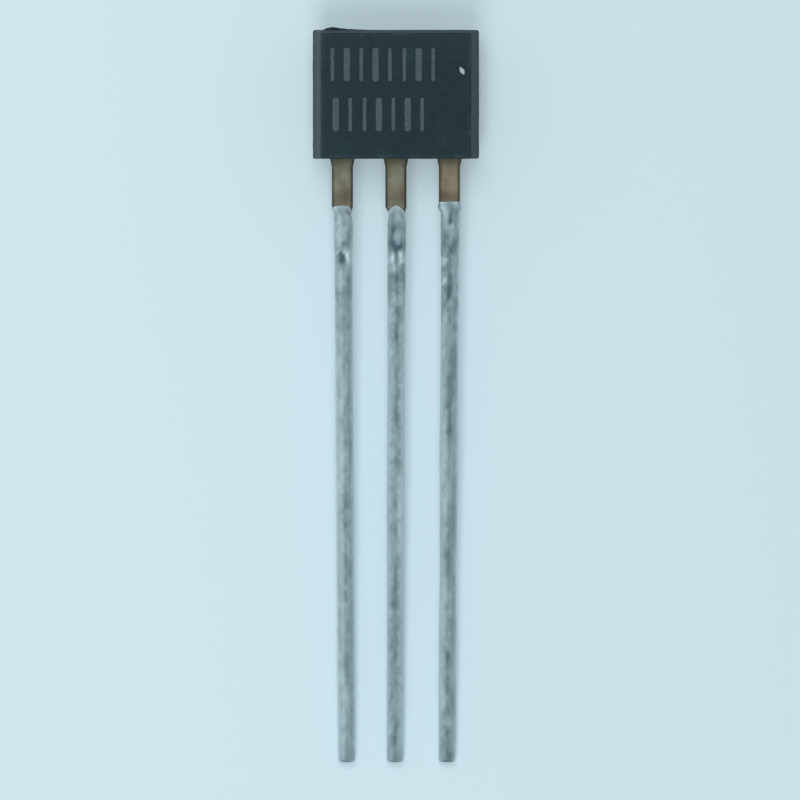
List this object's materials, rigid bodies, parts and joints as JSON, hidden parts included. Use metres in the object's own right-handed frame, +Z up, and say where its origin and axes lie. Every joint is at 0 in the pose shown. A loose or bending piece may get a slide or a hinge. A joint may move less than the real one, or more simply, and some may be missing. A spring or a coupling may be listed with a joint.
{
  "type": "flat three-lead plastic transistor",
  "caption": "Flat moulded three-lead transistor lying on its back, with bare copper necks and solder-dipped straight leads.",
  "frame": {"origin": "middle of the part's box, on the surface that it lies on", "axes": "+X across the leads, +Y from the lead tips to the top of the body, +Z up and out of the marked face"},
  "size_m": [0.004, 0.0174, 0.0023],
  "materials": {
    "molding_compound": "matte moulded epoxy, dark blue-grey",
    "bare_copper": "dull oxidised copper alloy, stamped",
    "dipped_solder": "satin grey hot-dipped solder",
    "silicon": "polished silicon",
    "silver_paste": "grey cured paste",
    "bond_gold": "drawn gold wire",
    "marking_ink": null
  },
  "bodies": {
    "root": {"molded_body": "molding_compound", "lead_left": "bare_copper", "lead_middle": "bare_copper", "lead_right": "bare_copper", "solder_coat_left": "dipped_solder", "solder_coat_middle": "dipped_solder", "solder_coat_right": "dipped_solder", "chip": "silicon", "chip_attach": "silver_paste", "bond_wire_left": "bond_gold", "bond_wire_right": "bond_gold"}
  },
  "joints": []
}
